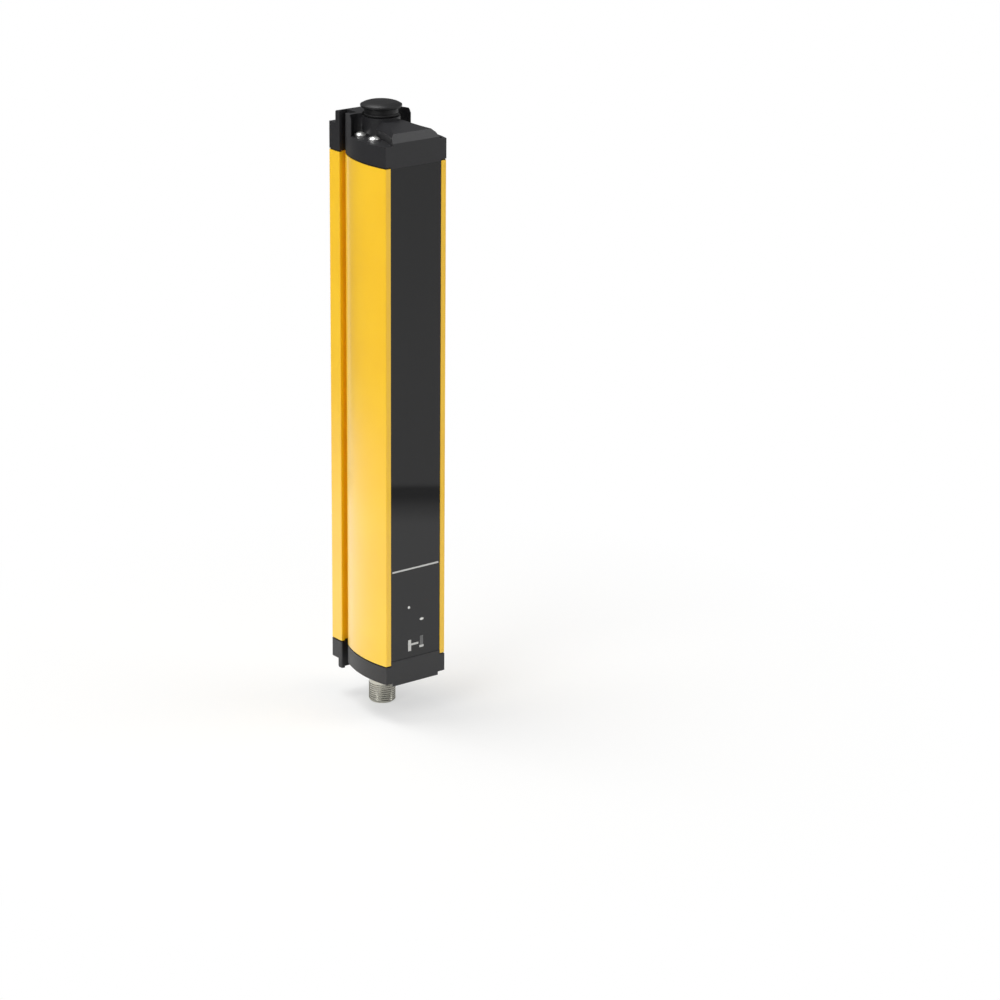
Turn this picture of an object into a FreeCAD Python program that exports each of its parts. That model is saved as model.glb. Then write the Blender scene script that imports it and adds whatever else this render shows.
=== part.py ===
import FreeCAD, Part
import math
import os

# Safety light curtain, emitter bar. All sizes in millimetres.
# Frame: X runs across the front, Y from the front window to the rear face, Z up along the bar.
# The origin lies midway through the section, at the level of the connector's lower end.

V = FreeCAD.Vector

# ---------------------------------------------------------------- driving dimensions
# extruded housing profile
profile_length = 223.0
section_width = 34.7            # over the widest part of the bowed sides
section_depth = 46.0            # front rims to rear face
side_radius = 52.0              # bow of each side
widest_behind_front = 12.4      # where the bowed sides are widest
wall = 1.7
rear_corner_radius = 1.2
edge_round = 0.5                # small rounds along the outer edges

# T-slot in each side, open over the whole length
slot_mouth = 4.6
slot_from_rear = 8.1            # rear edge of the mouth to the rear face
slot_lip = 1.7                  # metal left over the wide part of the slot
slot_inner_width = 7.6
slot_depth = 5.2                # lip face to slot floor

# front window and its seat
front_rim_width = 2.55          # metal beside the window
window_thickness = 2.0
window_recess = 0.2             # window face behind the front rims
window_side_gap = 0.1
window_lap = 2.4                # width of the ledge behind each window edge
ledge_thickness = 1.6
window_gasket_thickness = 0.5
window_gasket_width = 2.0

# screw ports, one for each cap screw, open to the inside by a slit
port_rear_from_rear = 20.7      # axis of the rear screws to the rear face
port_pitch_y = 10.0
port_boss_diameter = 6.0
port_slit = 1.0
screw_shank_diameter = 3.0
screw_port_clearance = 0.05
screw_engagement = 8.5          # length of shank in the port

# cap screws
screw_head_diameter = 5.0
screw_head_height = 2.0
screw_head_rim = 0.9            # straight rim under the domed top
screw_cross_width = 0.7
screw_cross_length = 2.8
screw_cross_depth = 0.9
screw_hole_clearance = 0.2

# end caps: heights are measured outward from the profile's end
cap_gasket_thickness = 0.6
cap_gasket_inset = 0.4          # gasket edge behind the outer faces
cap_wall = 2.2
cap_ledge_depth = 0.5           # ledge below its rim
cap_rim_width = 1.2
cap_recess_radius = 4.5         # round end of each sunk ledge, about the rear screw
cap_nose_inset = 3.3            # the middle body's front corners inside the section's
cap_nose_bow = 0.3              # how soon it narrows behind the front face
cap_slope_run = 2.4             # slope along the top of each recess wall
cap_slope_rise = 3.7
cap_tongue_gap = 0.1
cap_roof_break_from_rear = 31.0  # the roof is nearly level behind this
cap_step_from_rear = 20.6       # front foot of the rear block
cap_step_slope = 0.6
cap_slot_web = 1.2              # full-height wall behind each slot, in front of the rear flange
spigot_height = 3.0
spigot_wall = 1.2
spigot_clearance = 0.2
spigot_ledge_gap = 3.3          # behind the window ledge
spigot_past_port = 0.3          # rear face behind the front screws' axis

top_rim_height = 9.4            # edge of the sunk side ledges
top_front_height = 10.5
top_chamfer_run = 3.0
top_chamfer_rise = 3.3
top_roof_rise = 1.8             # from the chamfer to the roof's break
top_roof_rear_rise = 0.4        # from the break to the rear block
top_block_height = 17.8
top_recess_wall = 12.4          # the recess wall is upright to here, then sloped
top_tongue_length = 0.2         # front tongue between the profile's rims
top_flange_height = 12.3

bottom_rim_height = 8.5
bottom_front_height = 10.0
bottom_chamfer_run = 0.8
bottom_chamfer_rise = 0.2
bottom_roof_rise = 1.0
bottom_roof_rear_rise = 0.4
bottom_block_height = 13.0
bottom_tongue_length = 1.5
bottom_flange_height = 8.9

# round plug on the top cap and connector under the bottom cap share this axis
port_axis_from_rear = 20.8

plug_seat_height = 16.8
plug_seat_screw_gap = 0.15      # seat clear of the screw heads
plug_head_diameter = 17.9
plug_head_edge = 0.7            # straight edge of the head, above a small lower chamfer
plug_head_chamfer = 0.4
plug_head_slope_run = 2.8
plug_head_slope_rise = 1.2
plug_dome = 0.3
plug_neck_diameter = 14.6
plug_neck_height = 3.7
plug_stem_diameter = 12.0
plug_stem_length = 9.5
plug_bore_clearance = 0.1
plug_boss_wall = 2.4
plug_neck_clearance = 0.7
plug_ring_section = 1.4
plug_ring_squeeze = 0.1         # groove this much wider and deeper than the ring

# connector, M12 male, five contacts
thread_diameter = 12.0
connector_reach = 26.6          # profile end to the connector's lower end
connector_bore = 8.9
connector_tip_chamfer = 0.5
thread_end_above_tip = 9.5      # the thread stops here, plain above
connector_plain_diameter = 11.6
connector_seat_height = 5.4     # inner floor of the bottom cap
connector_flange_inset = 0.3    # flange edge inside the retaining ring's
connector_flange_thickness = 1.5
connector_hole_clearance = 0.1
connector_collar_diameter = 11.0
connector_collar_length = 2.0
retaining_ring_thickness = 2.3
retaining_ring_diameter = 16.4
retaining_ring_screw_gap = 1.15  # ring clear of the cap screws' shanks
retaining_ring_clearance = 0.2
retaining_boss_wall = 1.6
connector_ring_section = 1.3
connector_ring_inset = 0.4      # groove outside the thread's diameter
insert_face_above_tip = 8.0
insert_clearance = 0.05
insert_key_width = 1.4
insert_key_depth = 0.7
contact_diameter = 1.0
contact_circle = 5.5
contact_count = 4               # on the circle, besides the one in the middle
contact_above_tip = 1.5
contact_clearance = 0.05
connector_board_boss_gap = 0.75  # board clear of the screw bosses
connector_board_thickness = 1.0
connector_board_clearance = 0.6  # round the board, in the end gasket

# optics
mark_height = 42.6              # lower end of the protected height above the profile's end
protected_top_margin = 20.4     # upper end of the protected height below the profile's end
beam_count = 8
lens_diameter = 13.2
lens_dome = 0.8
lens_base = 1.0
lens_strip_width = 15.0
lens_window_gap = 0.4
carrier_port_gap = 0.3          # carrier and boards clear of the screw ports
carrier_depth = 11.6
carrier_flange_gap = 0.3        # flange edge to the side wall
carrier_flange_thickness = 1.4
carrier_side_gap = 0.1
carrier_pad_thickness = 1.5
carrier_rail_thickness = 1.2
carrier_rail_overlap = 1.4
tunnel_front_diameter = 12.6
tunnel_rear_diameter = 6.0
emitter_diameter = 4.9
emitter_flange_diameter = 5.8
emitter_flange_thickness = 1.0
emitter_body_length = 4.4
emitter_clearance = 0.1
emitter_board_thickness = 1.6
carrier_board_wall = 1.0        # carrier wall beside the emitter board
carrier_hook_overlap = 0.7
carrier_hook_thickness = 0.8
carrier_hook_length = 6.0
lens_rail_height = 0.9
lens_side_gap = 0.1

# status lights
status_light_height = (24.0, 17.9)
status_light_inset = (2.95, 3.05)   # from the emitter board's left and right edges
light_guide_diameter = 2.4
light_guide_head_diameter = 3.4
light_guide_head = 0.8
light_guide_clearance = 0.05
status_led_size = 2.8
status_led_height = 1.6
status_led_gap = 0.2

# control board
control_board_wall_gap = 1.3    # board's rear face to the chamber's rear wall
control_board_thickness = 1.6
control_board_inset = 2.6       # board edge inside the screw axis
control_board_length = 150.0
control_board_gap = 0.1
board_rail_wall = 1.2
board_rail_lip = 1.3
edge_socket_rail_gap = 1.15     # socket clear of the board rails
edge_socket_wall = 0.9
edge_socket_height = 7.0
edge_socket_floor = 1.2
edge_socket_gap = 0.05
board_header_rail_gap = 0.7     # plug clear of the board rails
board_header_height = 2.6
board_header_above_end = 60.0
controller_size = 10.0
controller_thickness = 1.2
controller_above_end = 84.0
inductor_size = 8.0
inductor_thickness = 4.0
inductor_above_end = 108.0
capacitor_diameter = 6.3
capacitor_gap = 2.6             # can's end to the emitter board
capacitor_above_end = 132.0

# ---------------------------------------------------------------- derived places
y_front = -section_depth / 2
y_rear = section_depth / 2
y_widest = y_front + widest_behind_front
z_bottom = connector_reach                      # lower end of the profile
z_top = z_bottom + profile_length               # upper end of the profile
z_tip = 0.0

y_mouth_rear = y_rear - slot_from_rear
y_mouth_front = y_mouth_rear - slot_mouth
y_slot_mid = (y_mouth_front + y_mouth_rear) / 2
y_slot_front = y_slot_mid - slot_inner_width / 2
y_slot_rear = y_slot_mid + slot_inner_width / 2


def side_x(y, inset=0.0):
    """Half width of the bowed side at y, with the bow moved inward by inset."""
    centre = section_width / 2 - side_radius
    return centre + math.sqrt((side_radius - inset) ** 2 - (y - y_widest) ** 2)


lip_x = side_x(y_mouth_front)
slot_floor_x = lip_x - slot_depth

y_window_front = y_front + window_recess
y_window_back = y_window_front + window_thickness
y_ledge_front = y_window_back + window_gasket_thickness
y_ledge_rear = y_ledge_front + ledge_thickness
window_seat_half = side_x(y_front) - front_rim_width
window_half = window_seat_half - window_side_gap
ledge_half = window_half - window_lap
y_chamber_rear = y_slot_front - wall

port_rear_y = y_rear - port_rear_from_rear
port_axis_y = y_rear - port_axis_from_rear
port_x = retaining_ring_diameter / 2 + retaining_ring_screw_gap + screw_shank_diameter / 2
port_places = [(sx * port_x, y) for sx in (-1, 1) for y in (port_rear_y - port_pitch_y, port_rear_y)]
port_radius = screw_shank_diameter / 2 + screw_port_clearance
screw_boss_diameter = screw_head_diameter + cap_rim_width
plug_seat_diameter = 2 * (port_x - screw_head_diameter / 2 - plug_seat_screw_gap)
connector_board_diameter = 2 * (port_x - screw_boss_diameter / 2 - connector_board_boss_gap)

y_flange_front = y_ledge_rear + carrier_side_gap
y_flange_rear = y_flange_front + carrier_flange_thickness
y_carrier_rear = y_flange_front + carrier_depth
carrier_z0 = z_bottom + spigot_height + carrier_pad_thickness
carrier_z1 = z_top - spigot_height - carrier_pad_thickness
carrier_half = port_x - port_boss_diameter / 2 - carrier_port_gap
carrier_flange_half = side_x(y_flange_front, wall) - carrier_flange_gap
emitter_board_half = carrier_half - carrier_board_wall - control_board_gap
strip_z0 = z_bottom + mark_height
strip_z1 = z_top - protected_top_margin
beam_pitch = (strip_z1 - strip_z0) / beam_count
beam_z = [strip_z0 + (k + 0.5) * beam_pitch for k in range(beam_count)]

y_board_rear = y_chamber_rear - control_board_wall_gap
control_board_y = y_board_rear - control_board_thickness
control_board_half = port_x - control_board_inset
rail_lip_x = control_board_half + control_board_gap - board_rail_lip
edge_socket_width = 2 * (rail_lip_x - edge_socket_rail_gap)
y_socket_front = control_board_y - edge_socket_gap - edge_socket_wall
y_socket_rear = y_board_rear + edge_socket_gap + edge_socket_wall
control_tongue_width = edge_socket_width - 2 * edge_socket_wall
board_header_width = 2 * (rail_lip_x - board_header_rail_gap)
capacitor_length = control_board_y - y_carrier_rear - emitter_board_thickness - capacitor_gap
status_light_x = (status_light_inset[0] - emitter_board_half, emitter_board_half - status_light_inset[1])
connector_flange_diameter = retaining_ring_diameter - 2 * connector_flange_inset
cap_nose_half = side_x(y_front) - cap_nose_inset
cap_waist = port_x - cap_recess_radius          # half width of the middle body between the ledges
cap_flange_y = y_slot_rear + cap_slot_web       # the rear block drops to the rear flange here
cap_roof_break_y = y_rear - cap_roof_break_from_rear
cap_step_y = y_rear - cap_step_from_rear
spigot_front_y = y_ledge_rear + spigot_ledge_gap
spigot_rear_y = port_rear_y - port_pitch_y + spigot_past_port
z_connector_seat = z_bottom - connector_seat_height
z_connector_board = z_connector_seat + connector_flange_thickness + retaining_ring_thickness
z_socket = z_connector_board + connector_board_thickness


# ---------------------------------------------------------------- small helpers
def box(x0, x1, y0, y1, z0, z1):
    return Part.makeBox(x1 - x0, y1 - y0, z1 - z0, V(x0, y0, z0))


def rod(diameter, x, y, z0, z1):
    return Part.makeCylinder(diameter / 2, z1 - z0, V(x, y, z0))


def rod_y(diameter, x, z, y0, y1):
    return Part.makeCylinder(diameter / 2, y1 - y0, V(x, y0, z), V(0, 1, 0))


def line(a, b):
    return Part.LineSegment(V(*a), V(*b)).toShape()


def arc(a, b, c):
    return Part.Arc(V(*a), V(*b), V(*c)).toShape()


def prism(edges, z0, z1):
    """Upright prism over a closed outline of edges drawn at z = 0."""
    face = Part.Face(Part.Wire(edges))
    solid = face.extrude(V(0, 0, z1 - z0))
    solid.translate(V(0, 0, z0))
    return solid


def spun(points, axis_y):
    """Solid of revolution about the upright axis at axis_y from (radius, z) points."""
    wire = Part.makePolygon([V(r, axis_y, z) for r, z in points + points[:1]])
    return Part.Face(wire).revolve(V(0, axis_y, 0), V(0, 0, 1), 360)


def fused(first, *rest):
    return first.fuse(list(rest)).removeSplitter() if rest else first


def cut(body, *tools):
    return body.cut(list(tools)).removeSplitter()


def both_sides(x0, x1, y0, y1, z0, z1):
    """The same box on the right and, mirrored, on the left."""
    return [box(x0, x1, y0, y1, z0, z1), box(-x1, -x0, y0, y1, z0, z1)]


def upright_edges(body, places, reach=0.05):
    """Upright edges of a prism that stand at the given (x, y) places."""
    found = []
    for edge in body.Edges:
        a, b = edge.Vertexes[0].Point, edge.Vertexes[-1].Point
        if math.hypot(a.x - b.x, a.y - b.y) < reach and abs(a.z - b.z) > reach:
            if any(math.hypot(a.x - x, a.y - y) < reach for x, y in places):
                found.append(edge)
    return found


def save(name, shape):
    shape.exportStep("parts/" + name + ".step")


# ---------------------------------------------------------------- the section
def outline(inset, z0, z1):
    """The outer outline of the section without its slots, moved inward by inset."""
    yf, yr = y_front + inset, y_rear - inset
    xf, xl = side_x(yf, inset), lip_x - inset
    yl = y_mouth_front
    xl_bow = side_x(yl, inset)
    ym = (yf + yl) / 2
    xm = side_x(ym, inset)
    r = rear_corner_radius
    d = r * (1 - math.sqrt(0.5))
    right = [arc((xf, yf, 0), (xm, ym, 0), (xl_bow, yl, 0))]
    if abs(xl_bow - xl) > 1e-6:
        right.append(line((xl_bow, yl, 0), (xl, yl, 0)))
    right += [line((xl, yl, 0), (xl, yr - r, 0)), arc((xl, yr - r, 0), (xl - d, yr - d, 0), (xl - r, yr, 0))]
    left = [arc((-xf, yf, 0), (-xm, ym, 0), (-xl_bow, yl, 0))]
    if abs(xl_bow - xl) > 1e-6:
        left.append(line((-xl_bow, yl, 0), (-xl, yl, 0)))
    left += [line((-xl, yl, 0), (-xl, yr - r, 0)), arc((-xl, yr - r, 0), (-xl + d, yr - d, 0), (-xl + r, yr, 0))]
    front = line((-xf, yf, 0), (xf, yf, 0))
    rear = line((xl - r, yr, 0), (-xl + r, yr, 0))
    return prism([front] + right + [rear] + left[::-1], z0, z1)


def bay(inset, y0, y1, z0, z1):
    """The space between the bowed sides from y0 to y1, with the bow moved inward by inset."""
    ym = (y0 + y1) / 2
    xa, xm, xb = side_x(y0, inset), side_x(ym, inset), side_x(y1, inset)
    edges = [line((-xa, y0, 0), (xa, y0, 0)), arc((xa, y0, 0), (xm, ym, 0), (xb, y1, 0)),
             line((xb, y1, 0), (-xb, y1, 0)), arc((-xb, y1, 0), (-xm, ym, 0), (-xa, y0, 0))]
    return prism(edges, z0, z1)


def slots(z0, z1, margin=0.0):
    """Tools that cut both T-slots."""
    mouth = both_sides(slot_floor_x - margin, section_width, y_mouth_front - margin, y_mouth_rear + margin, z0, z1)
    wide = both_sides(slot_floor_x - margin, lip_x - slot_lip + margin,
                      y_slot_front - margin, y_slot_rear + margin, z0, z1)
    return mouth + wide


# ---------------------------------------------------------------- housing profile
def make_profile():
    z0, z1 = z_bottom, z_top
    body = cut(outline(0, z0, z1), *slots(z0, z1))
    corners = [(sx * side_x(y_front), y_front) for sx in (-1, 1)]
    corners += [(sx * lip_x, y) for sx in (-1, 1) for y in (y_mouth_front, y_mouth_rear)]
    body = body.makeFillet(edge_round, upright_edges(body, corners))

    window_seat = box(-window_seat_half, window_seat_half, y_front - wall, y_ledge_front, z0, z1)
    light_gap = box(-ledge_half, ledge_half, y_front, y_ledge_rear + wall, z0, z1)
    chamber = bay(wall, y_ledge_rear, y_chamber_rear, z0, z1)
    duct_half = slot_floor_x - wall
    duct = box(-duct_half, duct_half, y_chamber_rear - wall, y_rear - wall, z0, z1)
    rear_half = lip_x - wall
    rear_bay = box(-rear_half, rear_half, y_slot_rear + wall, y_rear - wall, z0, z1)
    body = cut(body, window_seat, light_gap, chamber, duct, rear_bay)

    added = []
    for x, y in port_places:
        added.append(rod(port_boss_diameter, x, y, z0, z1))
        web_half = port_boss_diameter / 4
        x_wall = side_x(y, wall / 2)
        added.append(box(min(x, math.copysign(x_wall, x)), max(x, math.copysign(x_wall, x)),
                         y - web_half, y + web_half, z0, z1))
    rail_x = carrier_flange_half - carrier_rail_overlap
    rail_y = y_flange_rear + carrier_side_gap
    added += both_sides(rail_x, side_x(rail_y, wall / 2), rail_y, rail_y + carrier_rail_thickness, z0, z1)
    groove_x = control_board_half + control_board_gap
    groove_y0 = control_board_y - control_board_gap
    groove_y1 = y_board_rear + control_board_gap
    y_wall = y_chamber_rear + wall / 2
    added += both_sides(groove_x, groove_x + board_rail_wall, groove_y0 - board_rail_wall, y_wall, z0, z1)
    added += both_sides(rail_lip_x, groove_x, groove_y0 - board_rail_wall, groove_y0, z0, z1)
    added += both_sides(rail_lip_x, groove_x, groove_y1, y_wall, z0, z1)
    body = fused(body, *added)

    tools = []
    for x, y in port_places:
        tools.append(rod(2 * port_radius, x, y, z0, z1))
        inner = math.copysign(port_x - port_boss_diameter, x)
        tools.append(box(min(x, inner), max(x, inner), y - port_slit / 2, y + port_slit / 2, z0, z1))
    groove = box(-groove_x, groove_x, groove_y0, groove_y1, z0, z1)
    return cut(body, groove, *tools)


# ---------------------------------------------------------------- window
window_z0 = z_bottom + bottom_tongue_length + cap_tongue_gap
window_z1 = z_top - top_tongue_length - cap_tongue_gap


def make_window():
    return box(-window_half, window_half, y_window_front, y_window_back, window_z0, window_z1)


def make_window_gasket(side):
    inner = ledge_half + (window_lap - window_gasket_width) / 2
    outer = inner + window_gasket_width
    right, left = both_sides(inner, outer, y_window_back, y_ledge_front, window_z0, window_z1)
    return right if side > 0 else left


# ---------------------------------------------------------------- end caps
def recess_edges(side, spread):
    """Plan of the sunk ledge on one side, with its inner wall moved toward the middle by spread."""
    nose, waist, far = cap_nose_half - spread, cap_waist - spread, section_width / 2 + edge_round
    r = cap_recess_radius
    y_back = port_rear_y
    y_waist = y_back - r
    y_nose = y_front - edge_round
    x_mid = waist + (nose - waist) * cap_nose_bow
    places = [(nose, y_nose), (x_mid, (y_nose + y_waist) / 2), (waist, y_waist), (waist, y_back),
              (port_x, y_back + r), (port_x + r, y_back), (far, y_back), (far, y_nose)]
    a, b, c, d, e, f, g, h = [(side * x, y, 0) for x, y in places]
    return [arc(a, b, c), line(c, d), arc(d, e, f), line(f, g), line(g, h), line(h, a)]


def cap_recess(inset, h0, h1, spread=0.0):
    """Tools for the sunk ledges beside the middle body, right and left."""
    tools = [prism(recess_edges(side, spread), h0, h1) for side in (1, -1)]
    if inset:
        inner = bay(inset, y_front + inset, cap_flange_y, h0, h1)
        tools = [tool.common(inner) for tool in tools]
    return tools


def recess_slopes(h0):
    """Tools for the sloped upper part of each recess wall, from height h0."""
    tools = []
    for side in (1, -1):
        lower = Part.Wire(recess_edges(side, 0))
        upper = Part.Wire(recess_edges(side, cap_slope_run))
        lower.translate(V(0, 0, h0))
        upper.translate(V(0, 0, h0 + cap_slope_rise))
        tools.append(Part.makeLoft([lower, upper], True, True))
    return tools + cap_recess(0, h0 + cap_slope_rise, section_depth, cap_slope_run)


def cap_blank(front, run, rise, roof_rise, rear_rise, block, flange):
    """Outer form of an end cap, standing on the profile's end at h = 0."""
    base = cap_gasket_thickness
    roof_front = front + rise
    roof_break = roof_front + roof_rise
    points = [(y_front, base), (y_front, front), (y_front + run, roof_front),
              (cap_roof_break_y, roof_break), (cap_step_y, roof_break + rear_rise),
              (cap_step_y + cap_step_slope, block - edge_round), (cap_step_y + cap_step_slope + edge_round, block),
              (cap_flange_y - edge_round, block), (cap_flange_y, block - edge_round), (cap_flange_y, flange),
              (y_rear - edge_round, flange), (y_rear, flange - edge_round), (y_rear, base)]
    wire = Part.makePolygon([V(-section_width, y, h) for y, h in points + points[:1]])
    wedge = Part.Face(wire).extrude(V(2 * section_width, 0, 0))
    plan = outline(0, base, block)
    corners = [(s * lip_x, y) for s in (-1, 1) for y in (y_mouth_front, y_mouth_rear)]
    plan = cut(plan, *slots(base, block))
    plan = plan.makeFillet(edge_round, upright_edges(plan, corners))
    return plan.common(wedge)


def pocket_height(rim):
    """Height of the inside space below the sunk ledges."""
    return rim - cap_ledge_depth - cap_wall


def cap_hollow(rim, front_roof):
    """Inside space of a cap, with the screw bosses left standing."""
    base, top = cap_gasket_thickness, pocket_height(rim)
    space = bay(cap_wall, y_front + 2 * cap_wall, cap_step_y, base, top)
    bosses = [rod(screw_boss_diameter, x, y, base, top) for x, y in port_places]
    space = cut(space, *bosses)
    half = cap_waist - cap_wall
    nose_rear_y = spigot_rear_y - spigot_wall
    nose_space = box(-half, half, y_front + 2 * cap_wall, nose_rear_y, base, front_roof - cap_wall)
    return space, nose_space


def cap_spigot(rim):
    """Hollow peg that reaches into the profile between the screw ports."""
    top = pocket_height(rim)
    half = port_x - port_boss_diameter / 2 - spigot_clearance
    outer = box(-half, half, spigot_front_y, spigot_rear_y, -spigot_height, top)
    inner = box(-half + spigot_wall, half - spigot_wall, spigot_front_y + spigot_wall,
                spigot_rear_y - spigot_wall, -spigot_height, top)
    return outer.cut(inner)


def cap_tongue(length):
    """Front tongue between the profile's rims that laps the window's end."""
    half = window_seat_half - cap_tongue_gap
    return box(-half, half, y_front, y_ledge_front - cap_tongue_gap, -length, cap_gasket_thickness)


def finish_cap(body, rim, tongue, hollow):
    """Sink the ledges, hollow the cap and add what reaches into the profile."""
    body = cut(body, *cap_recess(0, rim, section_depth))
    body = cut(body, *cap_recess(cap_rim_width, rim - cap_ledge_depth, rim))
    body = cut(body, *hollow)
    body = fused(body, cap_spigot(rim), cap_tongue(tongue))
    tools = []
    for x, y in port_places:
        tools.append(rod(screw_shank_diameter + 2 * screw_hole_clearance, x, y, 0, rim))
        tools.append(rod(screw_head_diameter + 2 * screw_hole_clearance, x, y, rim - cap_ledge_depth, rim))
    return cut(body, *tools)


def make_top_cap():
    body = cap_blank(top_front_height, top_chamfer_run, top_chamfer_rise, top_roof_rise,
                     top_roof_rear_rise, top_block_height, top_flange_height)
    body = cut(body, *recess_slopes(top_recess_wall))
    neck_room = rod(plug_neck_diameter + 2 * plug_neck_clearance, 0, port_axis_y,
                    plug_seat_height, top_block_height + wall)
    body = cut(body, neck_room)
    space, nose_space = cap_hollow(top_rim_height, top_front_height + top_chamfer_rise)
    boss = rod(plug_stem_diameter + 2 * plug_boss_wall, 0, port_axis_y, 0, plug_seat_height)
    body = finish_cap(body, top_rim_height, top_tongue_length, (space.cut(boss), nose_space.cut(boss)))
    seat = rod(plug_seat_diameter, 0, port_axis_y, top_rim_height - cap_ledge_depth, plug_seat_height)
    body = fused(body, seat)
    bore = rod(plug_stem_diameter + 2 * plug_bore_clearance, 0, port_axis_y, 0, plug_seat_height)
    body = cut(body, bore)
    body.translate(V(0, 0, z_top))
    return body


def make_bottom_cap():
    body = cap_blank(bottom_front_height, bottom_chamfer_run, bottom_chamfer_rise, bottom_roof_rise,
                     bottom_roof_rear_rise, bottom_block_height, bottom_flange_height)
    space, nose_space = cap_hollow(bottom_rim_height, bottom_front_height)
    boss_diameter = retaining_ring_diameter + 2 * (retaining_ring_clearance + retaining_boss_wall)
    boss = rod(boss_diameter, 0, port_axis_y, 0, bottom_rim_height)
    body = finish_cap(body, bottom_rim_height, bottom_tongue_length, (space.cut(boss), nose_space.cut(boss)))
    beside_block = both_sides(slot_floor_x, section_width, port_rear_y, y_mouth_rear, bottom_rim_height, section_depth)
    body = cut(body, *beside_block)
    well = rod(retaining_ring_diameter + 2 * retaining_ring_clearance, 0, port_axis_y, 0, connector_seat_height)
    hole = rod(thread_diameter + 2 * connector_hole_clearance, 0, port_axis_y, 0, bottom_block_height + wall)
    body = cut(body, well, hole, connector_groove())
    body = body.mirror(V(0, 0, 0), V(0, 0, 1))
    body.translate(V(0, 0, z_bottom))
    return body


def connector_groove():
    """Ring groove in the floor of the connector's well, as a tool in cap heights."""
    inner = thread_diameter / 2 + connector_ring_inset
    outer = inner + connector_ring_section + plug_ring_squeeze
    depth = connector_ring_section + plug_ring_squeeze / 2
    top = connector_seat_height + depth
    return spun([(inner, connector_seat_height - plug_ring_squeeze / 2), (outer, connector_seat_height
                 - plug_ring_squeeze / 2), (outer, top), (inner, top)], port_axis_y)


def make_cap_gasket(z0):
    z1 = z0 + cap_gasket_thickness
    ring = cut(outline(cap_gasket_inset, z0, z1), *slots(z0, z1, cap_gasket_inset))
    opening = bay(wall + cap_rim_width, y_ledge_rear + cap_rim_width, y_chamber_rear - cap_rim_width, z0, z1)
    tongue_room = box(-window_seat_half, window_seat_half, y_front - wall, y_ledge_front, z0, z1)
    port_room = rod(connector_board_diameter + 2 * connector_board_clearance, 0, port_axis_y, z0, z1)
    socket_half = edge_socket_width / 2 + cap_tongue_gap
    socket_room = box(-socket_half, socket_half, y_socket_front - cap_tongue_gap, y_socket_rear + cap_tongue_gap,
                      z0, z1)
    screw_room = [rod(screw_shank_diameter + 2 * screw_hole_clearance, x, y, z0, z1) for x, y in port_places]
    return cut(ring, opening, tongue_room, port_room, socket_room, *screw_room)


def make_cap_screw(x, y, up):
    """Pan-head screw on a cap ledge. It points down for the top cap and up for the bottom cap."""
    r, rim, height = screw_head_diameter / 2, screw_head_rim, screw_head_height
    seat = (top_rim_height if up else bottom_rim_height) - cap_ledge_depth
    shank = rod(screw_shank_diameter, 0, 0, -screw_engagement, seat)
    dome_radius = (r ** 2 + (height - rim) ** 2) / (2 * (height - rim))
    ball = Part.makeSphere(dome_radius, V(0, 0, seat + height - dome_radius))
    head = rod(screw_head_diameter, 0, 0, seat, seat + height).common(ball)
    half, reach = screw_cross_width / 2, screw_cross_length / 2
    cross_z = seat + height - screw_cross_depth
    cross = box(-half, half, -reach, reach, cross_z, seat + height)
    across = box(-reach, reach, -half, half, cross_z, seat + height)
    body = cut(fused(shank, head), cross, across)
    if up:
        body.translate(V(x, y, z_top))
    else:
        body = body.mirror(V(0, 0, 0), V(0, 0, 1))
        body.translate(V(x, y, z_bottom))
    return body


# ---------------------------------------------------------------- top plug
def plug_groove_radii():
    inner = plug_stem_diameter / 2 + plug_bore_clearance + plug_ring_squeeze / 2
    return inner - plug_ring_squeeze / 2, inner + plug_ring_section + plug_ring_squeeze / 2


def make_top_plug():
    seat = z_top + plug_seat_height
    r_stem, r_neck, r_head = plug_stem_diameter / 2, plug_neck_diameter / 2, plug_head_diameter / 2
    head0 = seat + plug_neck_height
    edge0 = head0 + plug_head_chamfer
    edge1 = edge0 + plug_head_edge
    top = edge1 + plug_head_slope_rise
    r_top = r_head - plug_head_slope_run
    points = [(0, seat - plug_stem_length), (r_stem, seat - plug_stem_length), (r_stem, seat), (r_neck, seat),
              (r_neck, head0), (r_head - plug_head_chamfer, head0), (r_head, edge0), (r_head, edge1),
              ((r_head + r_top) / 2, (edge1 + top + plug_dome) / 2), (r_top, top), (0, top + plug_dome)]
    body = spun(points, port_axis_y)
    inner, outer = plug_groove_radii()
    depth = plug_ring_section + plug_ring_squeeze / 2
    groove = spun([(inner, seat), (outer, seat), (outer, seat + depth), (inner, seat + depth)], port_axis_y)
    return cut(body, groove)


def make_plug_ring():
    inner, outer = plug_groove_radii()
    seat = z_top + plug_seat_height
    r = plug_ring_section / 2
    return Part.makeTorus((inner + outer) / 2, r, V(0, port_axis_y, seat + r), V(0, 0, 1))


# ---------------------------------------------------------------- connector
def make_connector_shell():
    r, r_plain = thread_diameter / 2, connector_plain_diameter / 2
    r_flange, r_bore = connector_flange_diameter / 2, connector_bore / 2
    r_collar = connector_collar_diameter / 2
    seat, flange_top = z_connector_seat, z_connector_seat + connector_flange_thickness
    c = connector_tip_chamfer
    step = r - r_plain
    points = [(r_bore, z_tip), (r - c, z_tip), (r, z_tip + c), (r, z_tip + thread_end_above_tip),
              (r_plain, z_tip + thread_end_above_tip + step), (r_plain, seat), (r_flange, seat),
              (r_flange, flange_top), (r_collar, flange_top), (r_collar, flange_top + connector_collar_length),
              (r_bore, flange_top + connector_collar_length)]
    return spun(points, port_axis_y)


def make_connector_ring():
    inner = thread_diameter / 2 + connector_ring_inset
    middle = inner + (connector_ring_section + plug_ring_squeeze) / 2
    r = connector_ring_section / 2
    return Part.makeTorus(middle, r, V(0, port_axis_y, z_connector_seat - r), V(0, 0, 1))


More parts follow.
